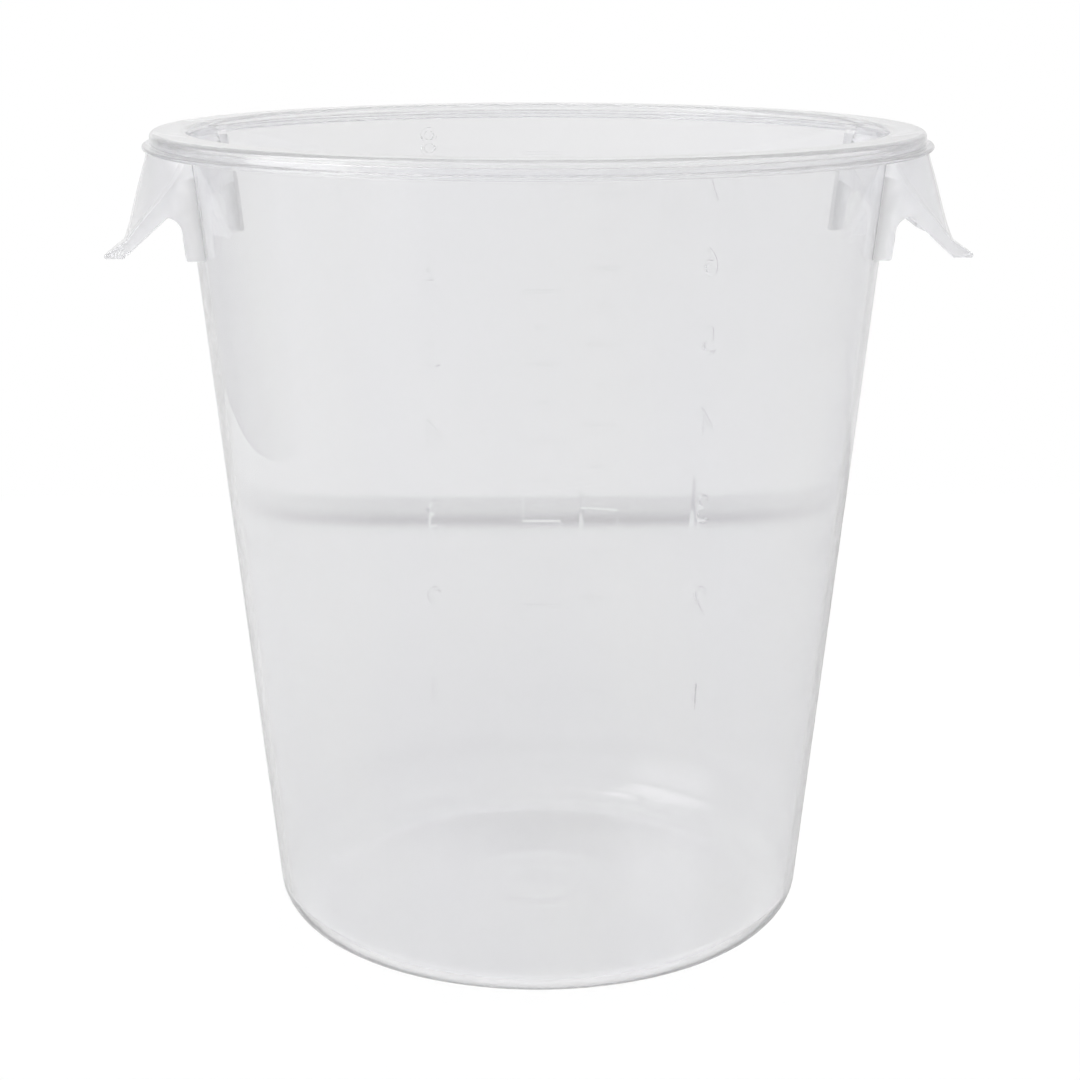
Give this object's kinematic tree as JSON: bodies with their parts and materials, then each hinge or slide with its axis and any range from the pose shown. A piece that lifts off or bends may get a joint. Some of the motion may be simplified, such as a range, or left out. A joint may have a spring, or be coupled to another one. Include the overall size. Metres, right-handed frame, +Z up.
{
  "type": "food storage tub",
  "caption": "Clear round tapered tub for proofing dough and storing food, with a rolled rim, a lid lip and two flared side grips.",
  "frame": {"origin": "centre of the foot on the surface that the tub stands on", "axes": "+Z up along the tub's axis, +X towards one grip, -Y towards the viewer"},
  "size_m": [0.2722, 0.254, 0.2664],
  "materials": {
    "clear_polycarbonate": "glossy, clear, injection moulded"
  },
  "bodies": {
    "root": {"base_floor": "clear_polycarbonate", "heel_ring": "clear_polycarbonate", "tapered_wall": "clear_polycarbonate", "rim_bead": "clear_polycarbonate", "lid_lip": "clear_polycarbonate", "right_grip": "clear_polycarbonate", "right_front_rib": "clear_polycarbonate", "right_back_rib": "clear_polycarbonate", "left_grip": "clear_polycarbonate", "left_front_rib": "clear_polycarbonate", "left_back_rib": "clear_polycarbonate", "volume_ticks": "clear_polycarbonate"}
  },
  "joints": []
}
